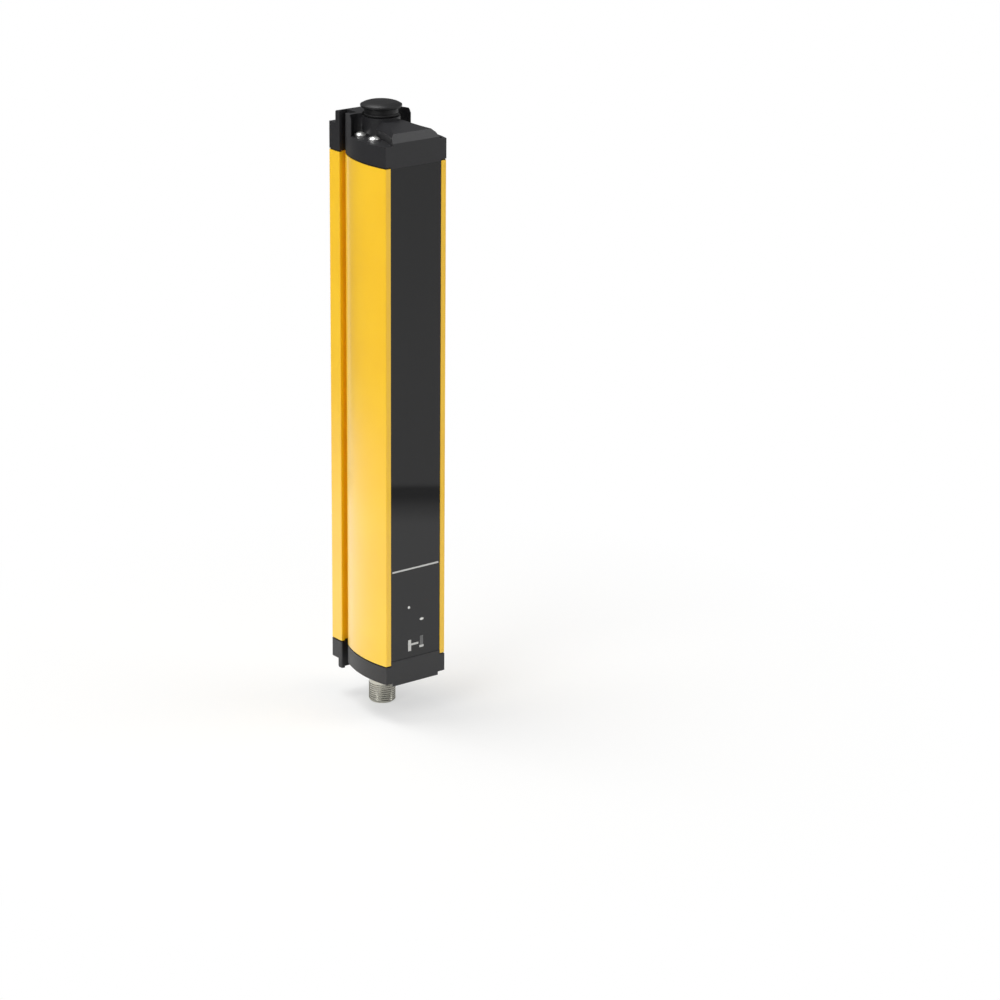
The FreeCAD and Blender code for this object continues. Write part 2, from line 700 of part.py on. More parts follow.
def make_retaining_ring():
    z0 = z_connector_seat + connector_flange_thickness
    hole = connector_collar_diameter + 2 * retaining_ring_clearance
    ring = rod(retaining_ring_diameter, 0, port_axis_y, z0, z0 + retaining_ring_thickness)
    key_half = retaining_boss_wall / 2
    key = box(-retaining_ring_diameter, retaining_ring_diameter, port_axis_y - key_half, port_axis_y + key_half,
              z0 + retaining_ring_thickness / 2, z0 + retaining_ring_thickness)
    return cut(ring, rod(hole, 0, port_axis_y, z0, z0 + retaining_ring_thickness), key)


def contact_places():
    places = [(0.0, port_axis_y)]
    for k in range(contact_count):
        angle = math.radians(45 + 360 * k / contact_count)
        places.append((contact_circle / 2 * math.cos(angle), port_axis_y + contact_circle / 2 * math.sin(angle)))
    return places


def make_connector_insert():
    z0, z1 = z_tip + insert_face_above_tip, z_connector_board
    r_insert = connector_bore / 2 - insert_clearance
    body = rod(2 * r_insert, 0, port_axis_y, z0, z1)
    key = box(-insert_key_width / 2, insert_key_width / 2, port_axis_y + r_insert - 2 * insert_key_depth,
              port_axis_y + r_insert, z_tip + contact_above_tip, z0 + insert_key_depth)
    key = key.common(rod(2 * r_insert, 0, port_axis_y, z_tip, z1))
    holes = [rod(contact_diameter + 2 * contact_clearance, x, y, z0, z1) for x, y in contact_places()]
    return cut(fused(body, key), *holes)


def make_contact(x, y):
    tip = z_tip + contact_above_tip
    r = contact_diameter / 2
    nose = Part.makeCone(r / 2, r, r, V(x, y, tip))
    return fused(nose, rod(contact_diameter, x, y, tip + r, z_socket))


def make_connector_board():
    board = rod(connector_board_diameter, 0, port_axis_y, z_connector_board, z_socket)
    hole = contact_diameter + 2 * contact_clearance
    return cut(board, *[rod(hole, x, y, z_connector_board, z_socket) for x, y in contact_places()])


def make_edge_socket():
    """Socket on the connector board that takes the control board's tongue."""
    half = edge_socket_width / 2
    body = box(-half, half, y_socket_front, y_socket_rear, z_socket, z_socket + edge_socket_height)
    tongue_half = control_tongue_width / 2 + edge_socket_gap
    slot = box(-tongue_half, tongue_half, control_board_y - edge_socket_gap, y_board_rear + edge_socket_gap,
               z_socket + edge_socket_floor, z_socket + edge_socket_height)
    return cut(body, slot)


# ---------------------------------------------------------------- optics
def make_carrier():
    half = carrier_half
    y0, y1 = y_flange_front, y_carrier_rear
    y_pocket = y1 + emitter_board_thickness + control_board_gap
    y_hook = y_pocket + carrier_hook_thickness
    body = box(-half, half, y0, y_hook, carrier_z0, carrier_z1)
    flange = box(-carrier_flange_half, carrier_flange_half, y0, y_flange_rear, carrier_z0, carrier_z1)
    rail_in = lens_strip_width / 2 + lens_side_gap
    rails = both_sides(rail_in, rail_in + carrier_hook_overlap, y0 - lens_rail_height, y0, strip_z0, strip_z1)
    body = fused(body, flange, *rails)

    board_half = emitter_board_half + control_board_gap
    pocket = box(-board_half, board_half, y1, y_hook, carrier_z0, carrier_z1)
    body = cut(body, pocket)
    hooks = []
    for z in beam_z[::2]:
        hooks += both_sides(board_half - carrier_hook_overlap, board_half, y_pocket, y_hook,
                            z - carrier_hook_length / 2, z + carrier_hook_length / 2)
    body = fused(body, *hooks)

    tools = []
    y_body = y1 - emitter_flange_thickness - emitter_clearance
    y_cone = y1 - emitter_flange_thickness - emitter_body_length / 2
    for z in beam_z:
        tools.append(Part.makeCone(tunnel_front_diameter / 2, tunnel_rear_diameter / 2, y_cone - y0,
                                   V(0, y0, z), V(0, 1, 0)))
        tools.append(rod_y(emitter_diameter + 2 * emitter_clearance, 0, z, y_cone, y1))
        tools.append(rod_y(emitter_flange_diameter + 2 * emitter_clearance, 0, z, y_body, y1))
    for x, h in zip(status_light_x, status_light_height):
        z = z_bottom + h
        tools.append(rod_y(light_guide_diameter + 2 * light_guide_clearance, x, z, y0, y1))
        room = status_led_size / 2 + status_led_gap
        tools.append(box(x - room, x + room, y1 - status_led_height - status_led_gap, y1, z - room, z + room))
    return cut(body, *tools)


def make_lens_strip():
    y1 = y_flange_front
    y0 = y1 - lens_base
    half = lens_strip_width / 2
    body = box(-half, half, y0, y1, strip_z0, strip_z1)
    r = lens_diameter / 2
    ball_radius = (r ** 2 + lens_dome ** 2) / (2 * lens_dome)
    domes = []
    for z in beam_z:
        ball = Part.makeSphere(ball_radius, V(0, y0 - lens_dome + ball_radius, z))
        domes.append(ball.common(rod_y(lens_diameter, 0, z, y0 - lens_dome, y0 + lens_base / 2)))
    return fused(body, *domes)


def make_emitter(z):
    y1 = y_carrier_rear
    r = emitter_diameter / 2
    y_tip = y1 - emitter_flange_thickness - emitter_body_length
    flange = rod_y(emitter_flange_diameter, 0, z, y1 - emitter_flange_thickness, y1)
    body = rod_y(emitter_diameter, 0, z, y_tip, y1 - emitter_flange_thickness)
    return fused(flange, body, Part.makeSphere(r, V(0, y_tip, z)))


def make_emitter_board():
    half = emitter_board_half
    return box(-half, half, y_carrier_rear, y_carrier_rear + emitter_board_thickness, carrier_z0, carrier_z1)


def make_carrier_pad(z0):
    half = port_x - port_boss_diameter / 2 - spigot_clearance
    return box(-half, half, spigot_front_y, spigot_rear_y, z0, z0 + carrier_pad_thickness)


def make_status_led(x, z):
    half = status_led_size / 2
    base = box(x - half, x + half, y_carrier_rear - status_led_height / 2, y_carrier_rear, z - half, z + half)
    lens = rod_y(status_led_size, x, z, y_carrier_rear - status_led_height, y_carrier_rear - status_led_height / 2)
    return fused(base, lens)


def make_light_guide(x, z):
    y_head = y_flange_front
    y_led = y_carrier_rear - status_led_height - status_led_gap
    stem = rod_y(light_guide_diameter, x, z, y_window_back + lens_window_gap, y_led)
    head = rod_y(light_guide_head_diameter, x, z, y_head - light_guide_head, y_head)
    return fused(stem, head)


# ---------------------------------------------------------------- control board
control_z0 = z_socket + edge_socket_floor
control_z1 = control_z0 + control_board_length


def make_control_board():
    half, tongue = control_board_half, control_tongue_width / 2
    z_wide = z_socket + edge_socket_height + edge_socket_gap
    wide = box(-half, half, control_board_y, y_board_rear, z_wide, control_z1)
    return fused(wide, box(-tongue, tongue, control_board_y, y_board_rear, control_z0, z_wide))


def make_board_header(on_control_board):
    """One half of the plug between the emitter board and the control board."""
    z = z_bottom + board_header_above_end
    y0, y1 = y_carrier_rear + emitter_board_thickness, control_board_y
    y_split = (y0 + y1) / 2
    shrink = 0 if on_control_board else edge_socket_wall / 2
    half, rise = board_header_width / 2 - shrink, board_header_height / 2 - shrink
    if on_control_board:
        return box(-half, half, y_split, y1, z - rise, z + rise)
    return box(-half, half, y0, y_split, z - rise, z + rise)


def make_controller():
    half, z = controller_size / 2, z_bottom + controller_above_end
    body = box(-half, half, control_board_y - controller_thickness, control_board_y, z - half, z + half)
    upper = [e for e in body.Edges if all(v.Point.y < control_board_y - edge_round for v in e.Vertexes)]
    return body.makeChamfer(edge_round / 2, upper)


def make_inductor():
    half, z = inductor_size / 2, z_bottom + inductor_above_end
    base = box(-half, half, control_board_y - edge_socket_wall, control_board_y, z - half, z + half)
    coil = rod_y(inductor_size - edge_socket_wall, 0, z, control_board_y - inductor_thickness, control_board_y)
    return fused(base, coil)


def make_capacitor():
    z = z_bottom + capacitor_above_end
    can = rod_y(capacitor_diameter, 0, z, control_board_y - capacitor_length, control_board_y)
    half = capacitor_diameter / 2
    base = box(-half, half, control_board_y - edge_socket_wall, control_board_y, z - half, z + half)
    return fused(can, base)


# ---------------------------------------------------------------- write every piece
def main():
    os.makedirs("parts", exist_ok=True)
    save("housing_profile", make_profile())
    save("front_window", make_window())
    save("window_gasket_left", make_window_gasket(-1))
    save("window_gasket_right", make_window_gasket(1))
    save("top_cap", make_top_cap())
    save("bottom_cap", make_bottom_cap())
    save("top_cap_gasket", make_cap_gasket(z_top))
    save("bottom_cap_gasket", make_cap_gasket(z_bottom - cap_gasket_thickness))
    for k, (x, y) in enumerate(port_places, 1):
        save("top_cap_screw_%d" % k, make_cap_screw(x, y, True))
        save("bottom_cap_screw_%d" % k, make_cap_screw(x, y, False))
    save("top_plug", make_top_plug())
    save("top_plug_o_ring", make_plug_ring())
    save("connector_shell", make_connector_shell())
    save("connector_o_ring", make_connector_ring())
    save("connector_retaining_ring", make_retaining_ring())
    save("connector_insert", make_connector_insert())
    for k, (x, y) in enumerate(contact_places(), 1):
        save("connector_contact_%d" % k, make_contact(x, y))
    save("connector_board", make_connector_board())
    save("edge_socket", make_edge_socket())
    save("optics_carrier", make_carrier())
    save("lens_strip", make_lens_strip())
    for k, z in enumerate(beam_z, 1):
        save("ir_emitter_%d" % k, make_emitter(z))
    save("emitter_board", make_emitter_board())
    save("carrier_pad_bottom", make_carrier_pad(z_bottom + spigot_height))
    save("carrier_pad_top", make_carrier_pad(z_top - spigot_height - carrier_pad_thickness))
    for k, (x, h) in enumerate(zip(status_light_x, status_light_height), 1):
        save("status_led_%d" % k, make_status_led(x, z_bottom + h))
        save("light_guide_%d" % k, make_light_guide(x, z_bottom + h))
    save("control_board", make_control_board())
    save("board_header_socket", make_board_header(True))
    save("board_header_plug", make_board_header(False))
    save("controller_chip", make_controller())
    save("power_inductor", make_inductor())
    save("power_capacitor", make_capacitor())


main()
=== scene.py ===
"""Looks of the emitter bar of a safety light curtain, laid out as an add-on and run as a script.

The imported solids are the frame. Each operator dresses one group of pieces or adds what the solids
leave out: the connector's thread, the chip's leads, the printed marks and the window of each
status light.
"""
import math

import bmesh
import bpy
from bpy.props import FloatProperty, FloatVectorProperty, IntProperty, PointerProperty
from mathutils import Matrix, Vector


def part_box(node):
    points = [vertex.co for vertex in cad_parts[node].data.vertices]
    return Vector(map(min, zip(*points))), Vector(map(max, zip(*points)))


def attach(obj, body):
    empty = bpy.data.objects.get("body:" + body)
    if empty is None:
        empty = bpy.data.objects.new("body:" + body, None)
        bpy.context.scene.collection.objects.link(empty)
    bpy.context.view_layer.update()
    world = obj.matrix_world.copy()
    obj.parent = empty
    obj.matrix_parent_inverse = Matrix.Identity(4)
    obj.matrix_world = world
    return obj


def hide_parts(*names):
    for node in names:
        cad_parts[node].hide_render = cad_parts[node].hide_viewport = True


bl_info = {
    "name": "Light Curtain Bar",
    "version": (1, 0, 0),
    "blender": (4, 5, 0),
    "location": "View3D > Sidebar > Light Curtain",
    "description": "Finishes, printed marks, thread and studio for a light curtain bar",
    "category": "Object",
}

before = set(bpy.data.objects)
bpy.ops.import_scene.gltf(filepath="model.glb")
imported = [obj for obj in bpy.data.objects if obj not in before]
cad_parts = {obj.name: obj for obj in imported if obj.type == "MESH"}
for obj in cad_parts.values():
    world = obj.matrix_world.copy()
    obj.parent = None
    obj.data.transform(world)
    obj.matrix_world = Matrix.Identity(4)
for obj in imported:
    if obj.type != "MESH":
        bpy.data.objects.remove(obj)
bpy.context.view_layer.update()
MM = 0.001
WHITE = (1.0, 1.0, 1.0, 1.0)


# ---------------------------------------------------------------- colours and nodes
def linear(hex_colour):
    """Linear RGBA of an sRGB hex colour."""
    parts = [int(hex_colour[i:i + 2], 16) / 255 for i in (0, 2, 4)]
    return tuple(c / 12.92 if c <= 0.04045 else ((c + 0.055) / 1.055) ** 2.4 for c in parts) + (1.0,)


def scaled(colour, *factors):
    """An opaque colour with its channels multiplied, by one factor or by three, and kept to 1 at most."""
    factors = factors * 3 if len(factors) == 1 else factors
    return tuple(min(1.0, c * f) for c, f in zip(colour[:3], factors)) + (1.0,)


def feed(tree, n, **inputs):
    """Sets a node's inputs by name, or by number as in0 and in1. A value that is a socket is linked."""
    for key, value in inputs.items():
        by_number = key.startswith("in") and key[2:].isdigit()
        socket = n.inputs[int(key[2:]) if by_number else key.replace("_", " ")]
        if isinstance(value, bpy.types.NodeSocket):
            tree.links.new(value, socket)
        else:
            socket.default_value = value


def node(tree, kind, settings=None, **inputs):
    """Adds a node with its settings and its inputs."""
    n = tree.nodes.new(kind)
    for key, value in (settings or {}).items():
        setattr(n, key, value)
    feed(tree, n, **inputs)
    return n


def calc(tree, operation, *values):
    """Result of a maths node on numbers or sockets."""
    n = node(tree, "ShaderNodeMath", {"operation": operation})
    feed(tree, n, **{"in%d" % k: value for k, value in enumerate(values)})
    return n.outputs[0]


def new_material(name):
    """An empty node material with its shader, its output and the piece's own coordinates."""
    mat = bpy.data.materials.new(name)
    mat.use_nodes = True
    tree = mat.node_tree
    tree.nodes.clear()
    shader = node(tree, "ShaderNodeBsdfPrincipled")
    node(tree, "ShaderNodeOutputMaterial", Surface=shader.outputs["BSDF"])
    place = node(tree, "ShaderNodeTexCoord").outputs["Object"]
    return mat, tree, shader, place


def noise(tree, place, size_mm, detail=2.0, roughness=0.5):
    """Noise whose lumps are about size_mm across."""
    return node(tree, "ShaderNodeTexNoise", Vector=place, Scale=1000 / size_mm, Detail=detail,
                Roughness=roughness).outputs["Fac"]


def remap(tree, value, low, high, to_low, to_high):
    """The value moved from one range to another, and held at its ends."""
    return node(tree, "ShaderNodeMapRange", Value=value, From_Min=low, From_Max=high, To_Min=to_low,
                To_Max=to_high).outputs["Result"]


def tinted(tree, factor, first, second):
    """A colour that moves from the first to the second with factor."""
    return node(tree, "ShaderNodeMix", {"data_type": "RGBA"}, Factor=factor, in6=first, in7=second).outputs[2]


def bump(tree, height, depth_mm, strength=1.0):
    """A surface normal raised by height, depth_mm from low to high."""
    return node(tree, "ShaderNodeBump", Strength=strength, Distance=depth_mm * MM, Height=height).outputs["Normal"]


def dress(mat, *names):
    """Gives CAD nodes their material."""
    for name in names:
        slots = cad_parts[name].data.materials
        slots.clear()
        slots.append(mat)


def numbered(stem, count):
    """Names of a row of nodes: stem_1, stem_2 and so on."""
    return [stem + "_%d" % k for k in range(1, count + 1)]


# ---------------------------------------------------------------- materials
def powder_coat(look):
    """Polyester powder coat on extruded aluminium: semi-gloss, with a faint orange peel from the cure."""
    mat, tree, shader, place = new_material("yellow powder coat")
    base = scaled(look.coat_colour, 1.0)
    cloud = remap(tree, noise(tree, place, 35.0), 0.35, 0.65, 0.0, 1.0)
    peel = noise(tree, place, look.orange_peel / MM, 1.0)
    feed(tree, shader, Base_Color=tinted(tree, cloud, base, scaled(base, 0.965, 0.93, 0.82)),
         Roughness=remap(tree, peel, 0.3, 0.7, 0.30, 0.36), Normal=bump(tree, peel, 0.012),
         IOR=1.50, Coat_Weight=0.9, Coat_Roughness=0.1, Coat_IOR=1.5)
    return mat


def smoked_acrylic(look):
    """Cast acrylic dyed black, which passes infrared: deep, glossy and very flat."""
    mat, tree, shader, place = new_material("smoked acrylic window")
    cloud = noise(tree, place, 60.0, 1.0)
    haze = noise(tree, place, 6.0, 3.0)
    feed(tree, shader, Base_Color=tinted(tree, cloud, scaled(look.window_colour, 1.0), linear("131314")),
         Roughness=remap(tree, haze, 0.3, 0.7, 0.02, 0.035), IOR=1.49)
    return mat


def moulded_pbt(name, hex_colour, rough):
    """Glass-filled polyester moulded in a spark-eroded tool: a fine even grain that spreads the light."""
    mat, tree, shader, place = new_material(name)
    base = linear(hex_colour)
    grain = noise(tree, place, 0.55, 2.0, 0.6)          # drawn coarser than the real grain, to show
    flow = noise(tree, place, 22.0)
    feed(tree, shader, Base_Color=tinted(tree, flow, base, scaled(base, 1.35)),
         Roughness=remap(tree, grain, 0.3, 0.7, rough - 0.05, rough + 0.07),
         Normal=bump(tree, grain, 0.03, 0.6), IOR=1.55)
    return mat


def rubber(name, hex_colour, rough, cell_mm):
    """Moulded or cellular rubber: matt, with a soft bloom on the surface."""
    mat, tree, shader, place = new_material(name)
    base = linear(hex_colour)
    cells = noise(tree, place, cell_mm, 3.0)
    feed(tree, shader, Base_Color=tinted(tree, cells, base, scaled(base, 1.8)),
         Normal=bump(tree, cells, 0.05, 0.5), Roughness=rough, IOR=1.52)
    return mat


def plated(name, hex_colour, rough, spread):
    """Bright plating over turned metal: faint turning marks run round the piece."""
    mat, tree, shader, place = new_material(name)
    base = linear(hex_colour)
    stretched = node(tree, "ShaderNodeMapping", Vector=place, Scale=(1.0, 1.0, 9.0))
    marks = noise(tree, stretched.outputs["Vector"], 2.2, 3.0)
    feed(tree, shader, Base_Color=tinted(tree, marks, base, scaled(base, 0.86)),
         Roughness=remap(tree, marks, 0.3, 0.7, rough, rough + spread),
         Normal=bump(tree, marks, 0.006, 0.5), Metallic=1.0)
    return mat


def circuit_laminate():
    """Glass-epoxy laminate under green solder mask: copper tracks show as paler bands."""
    mat, tree, shader, place = new_material("circuit board laminate")
    tracks = node(tree, "ShaderNodeTexBrick", {"offset": 0.35, "squash": 1.0}, Vector=place, Scale=160.0,
                  Mortar_Size=0.03, Brick_Width=0.9, Row_Height=0.22,
                  Color1=linear("1C5A34"), Color2=linear("17502D"), Mortar=linear("2F7A4A")).outputs
    feed(tree, shader, Base_Color=tracks["Color"], Normal=bump(tree, tracks["Fac"], 0.03, 0.6),
         Roughness=0.32, IOR=1.55)
    return mat


def clear_resin(name, hex_colour, rough, clarity):
    """Cast or moulded resin. Clarity is the share of light that passes through."""
    mat, tree, shader, place = new_material(name)
    base = linear(hex_colour)
    swirl = noise(tree, place, 9.0)
    feed(tree, shader, Base_Color=tinted(tree, swirl, base, scaled(base, 1.12)),
         Roughness=remap(tree, swirl, 0.3, 0.7, rough, rough + 0.04), IOR=1.49, Transmission_Weight=clarity)
    return mat


def printed_ink(name, hex_colour, glow=0.0):
    """Screen-printed ink: opaque, slightly chalky, thinner in places. It may glow, as a lit light does."""
    mat, tree, shader, place = new_material(name)
    base = linear(hex_colour)
    speckle = remap(tree, noise(tree, place, 0.4), 0.35, 0.7, 0.0, 1.0)
    colour = tinted(tree, speckle, base, scaled(base, 0.8))
    feed(tree, shader, Base_Color=colour, Roughness=0.55, IOR=1.5)
    if glow:
        feed(tree, shader, Emission_Color=colour, Emission_Strength=glow)
    return mat


# ---------------------------------------------------------------- settings
class HousingSettings(bpy.types.PropertyGroup):
    coat_colour: FloatVectorProperty(name="Coat colour", description="Colour of the powder coat",
                                     subtype="COLOR", size=3, min=0, max=1, default=linear("FFCC17")[:3])
    orange_peel: FloatProperty(name="Orange peel", description="Width of one ripple of the coat",
                               unit="LENGTH", default=0.9 * MM, min=0.1 * MM, max=5 * MM)


class WindowSettings(bpy.types.PropertyGroup):
    window_colour: FloatVectorProperty(name="Window colour", description="Colour of the dyed acrylic",
                                       subtype="COLOR", size=3, min=0, max=1, default=linear("171718")[:3])
    ink_thickness: FloatProperty(name="Ink thickness", description="How far the print stands off the window",
                                 unit="LENGTH", default=0.05 * MM, min=0.01 * MM, max=0.18 * MM)
    line_width: FloatProperty(name="Marking line width", description="Height of the line across the window",
                              unit="LENGTH", default=0.75 * MM, min=0.2 * MM, max=2 * MM)
    line_height: FloatProperty(name="Marking line height", description="Line above the profile's lower end",
                               unit="LENGTH", default=42.6 * MM, min=20 * MM, max=200 * MM)
    line_margin: FloatProperty(name="Marking line margin", description="From each window edge to the line's end",
                               unit="LENGTH", default=0.8 * MM, min=0, max=5 * MM)


class ConnectorSettings(bpy.types.PropertyGroup):
    pitch: FloatProperty(name="Thread pitch", description="From one turn of the thread to the next",
                         unit="LENGTH", default=1.0 * MM, min=0.5 * MM, max=2 * MM)
    depth: FloatProperty(name="Thread depth", description="Depth of the thread in the visible shell",
                         unit="LENGTH", default=0.22 * MM, min=0.1 * MM, max=0.7 * MM)
    run_out: FloatProperty(name="Thread length", description="Length of the threaded part from the lower end",
                           unit="LENGTH", default=9.0 * MM, min=2 * MM, max=12 * MM)
    segments: IntProperty(name="Segments", description="Points on each turn", subtype="UNSIGNED",
                          default=96, min=24, max=256)


class StageSettings(bpy.types.PropertyGroup):
    key_power: FloatProperty(name="Key light", description="Power of the large light", unit="POWER",
                             default=12.0, min=0)
    fill_power: FloatProperty(name="Fill light", description="Power of the front light", unit="POWER",
                              default=5.0, min=0)
    top_power: FloatProperty(name="Top light", description="Power of the light overhead", unit="POWER",
                             default=12.0, min=0)
    ambient: FloatProperty(name="Ambient", description="Strength of the even studio light",
                           subtype="FACTOR", default=0.36, min=0, max=2)
    reflected: FloatProperty(name="Studio reflection", description="How bright the room is in reflections",
                             subtype="FACTOR", default=0.16, min=0, max=2)
    white_mix: FloatProperty(name="Backdrop white", description="Share of plain white in the floor",
                             subtype="FACTOR", default=0.5, min=0, max=1)


# ---------------------------------------------------------------- mesh helpers
def finished(name, mesh, mat):
    """Adds a finished piece that rides on the bar."""
    piece = bpy.data.objects.new(name, mesh)
    bpy.context.scene.collection.objects.link(piece)
    mesh.materials.clear()
    mesh.materials.append(mat)
    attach(piece, "root")
    return piece


def lathe(points, axis_y, steps):
    """Closed form of revolution about an upright axis at axis_y, from a closed loop of (radius, z) points."""
    bm = bmesh.new()
    rings = []
    for k in range(steps):
        a = 2 * math.pi * k / steps
        rings.append([bm.verts.new((r * math.cos(a), axis_y + r * math.sin(a), z)) for r, z in points])
    for k in range(steps):
        here, there = rings[k], rings[(k + 1) % steps]
        for i in range(len(points)):
            j = (i + 1) % len(points)
            bm.faces.new((here[i], there[i], there[j], here[j]))
    return bm


def rectangle(left, right, low, high):
    """Corners of an upright rectangle, as (x, z) points."""
    return [(left, low), (right, low), (right, high), (left, high)]


def printed(name, outline, ink, y_back, y_front):
    """Adds a print on the window: a thin closed plate from (x, z) points, on a surface that faces -Y."""
    bm = bmesh.new()
    back = [bm.verts.new((x, y_back, z)) for x, z in outline]
    front = [bm.verts.new((x, y_front, z)) for x, z in outline]
    bm.faces.new(back[::-1])
    bm.faces.new(front)
    for i in range(len(outline)):
        j = (i + 1) % len(outline)
        bm.faces.new((back[i], back[j], front[j], front[i]))
    finished(name, to_mesh(bm, name), ink)


def to_mesh(bm, name, smooth=False):
    """Turns a form into a mesh with its faces outward, smooth where edges are shallow if asked."""
    bmesh.ops.recalc_face_normals(bm, faces=bm.faces)
    mesh = bpy.data.meshes.new(name)
    bm.to_mesh(mesh)
    bm.free()
    if smooth:
        mesh.shade_smooth()
        mesh.set_sharp_from_angle(angle=math.radians(35))
    return mesh


# ---------------------------------------------------------------- geometry nodes
def node_group(name, **inputs):
    """An empty Geometry Nodes tree with named inputs, each given by its socket type."""
    tree = bpy.data.node_groups.new(name, "GeometryNodeTree")
    for label, kind in inputs.items():
        tree.interface.new_socket(label.replace("_", " "), in_out="INPUT", socket_type="NodeSocket" + kind)
    tree.interface.new_socket("Geometry", in_out="OUTPUT", socket_type="NodeSocketGeometry")
    return tree


def end_tree(tree, geometry, mat):
    """Ends a node tree: its instances made real, its material and its output."""
    real = node(tree, "GeometryNodeRealizeInstances", Geometry=geometry)
    coloured = node(tree, "GeometryNodeSetMaterial", Geometry=real.outputs[0], Material=mat)
    node(tree, "NodeGroupOutput", Geometry=coloured.outputs[0])


def thread_tree(mat):
    """Node tree of the thread: a helix, and a ridge of trapezoid section swept along it."""
    foot_share, crest_share = 0.92, 0.30    # widths of the ridge, in pitches
    rise_share = 1.2                        # height of the ridge, in thread depths: its foot is sunk into the core
    tree = node_group("connector thread", Pitch="Float", Depth="Float", Length="Float", Radius="Float",
                      Segments="Int", Place="Vector")
    given = node(tree, "NodeGroupInput").outputs
    rise = calc(tree, "MULTIPLY", given["Depth"], rise_share)
    inner = calc(tree, "SUBTRACT", given["Radius"], rise)
    helix = node(tree, "GeometryNodeCurveSpiral", Resolution=given["Segments"],
                 Rotations=calc(tree, "DIVIDE", given["Length"], given["Pitch"]),
                 Start_Radius=inner, End_Radius=inner, Height=given["Length"])
    ridge = node(tree, "GeometryNodeCurvePrimitiveQuadrilateral", {"mode": "TRAPEZOID"},
                 Bottom_Width=calc(tree, "MULTIPLY", given["Pitch"], foot_share),
                 Top_Width=calc(tree, "MULTIPLY", given["Pitch"], crest_share), Height=rise, Offset=0.0)
    # the crest is turned away from the axis, and the foot is put on the helix
    shift = node(tree, "ShaderNodeCombineXYZ", X=calc(tree, "MULTIPLY", rise, -0.5))
    seated = node(tree, "GeometryNodeTransform", Geometry=ridge.outputs[0], Translation=shift.outputs[0],
                  Rotation=(0.0, 0.0, math.pi / 2))
    upright = node(tree, "GeometryNodeSetCurveNormal", {"mode": "Z_UP"}, Curve=helix.outputs[0])
    swept = node(tree, "GeometryNodeCurveToMesh", Curve=upright.outputs[0], Profile_Curve=seated.outputs[0],
                 Fill_Caps=True)
    placed = node(tree, "GeometryNodeTransform", Geometry=swept.outputs[0], Translation=given["Place"])
    end_tree(tree, placed.outputs[0], mat)
    return tree


def lead_row_tree(mat):
    """Node tree of a row of chip leads: one small block repeated on a line."""
    tree = node_group("chip leads", Count="Int", Lead_pitch="Float", Size="Vector", Place="Vector")
    given = node(tree, "NodeGroupInput").outputs
    step = node(tree, "ShaderNodeCombineXYZ", Z=given["Lead pitch"])
    line = node(tree, "GeometryNodeMeshLine", Count=given["Count"], Offset=step.outputs[0])
    lead = node(tree, "GeometryNodeMeshCube", Size=given["Size"])
    row = node(tree, "GeometryNodeTransform", Geometry=line.outputs[0], Translation=given["Place"])
    spread = node(tree, "GeometryNodeInstanceOnPoints", Points=row.outputs[0], Instance=lead.outputs[0])
    end_tree(tree, spread.outputs[0], mat)
    return tree


def grown(tree, name, **values):
    """The plain mesh that a node tree makes from these inputs."""
    holder = bpy.data.objects.new(name + " tool", bpy.data.meshes.new(name + " tool"))
    bpy.context.scene.collection.objects.link(holder)
    modifier = holder.modifiers.new(name, "NODES")
    modifier.node_group = tree
    for item in tree.interface.items_tree:
        if item.in_out == "INPUT":
            modifier[item.identifier] = values[item.name.replace(" ", "_")]
    bpy.context.view_layer.update()
    graph = bpy.context.evaluated_depsgraph_get()
    mesh = bpy.data.meshes.new_from_object(holder.evaluated_get(graph))
    holder.modifiers.clear()
    bpy.data.objects.remove(holder)
    mesh.name = name
    return mesh


# ---------------------------------------------------------------- operators
class LIGHTCURTAIN_OT_housing(bpy.types.Operator):
    """Powder coat on the extruded housing"""
    bl_idname = "lightcurtain.housing"
    bl_label = "Housing"

    def execute(self, context):
        dress(powder_coat(context.scene.housing_look), "housing_profile")
        return {"FINISHED"}


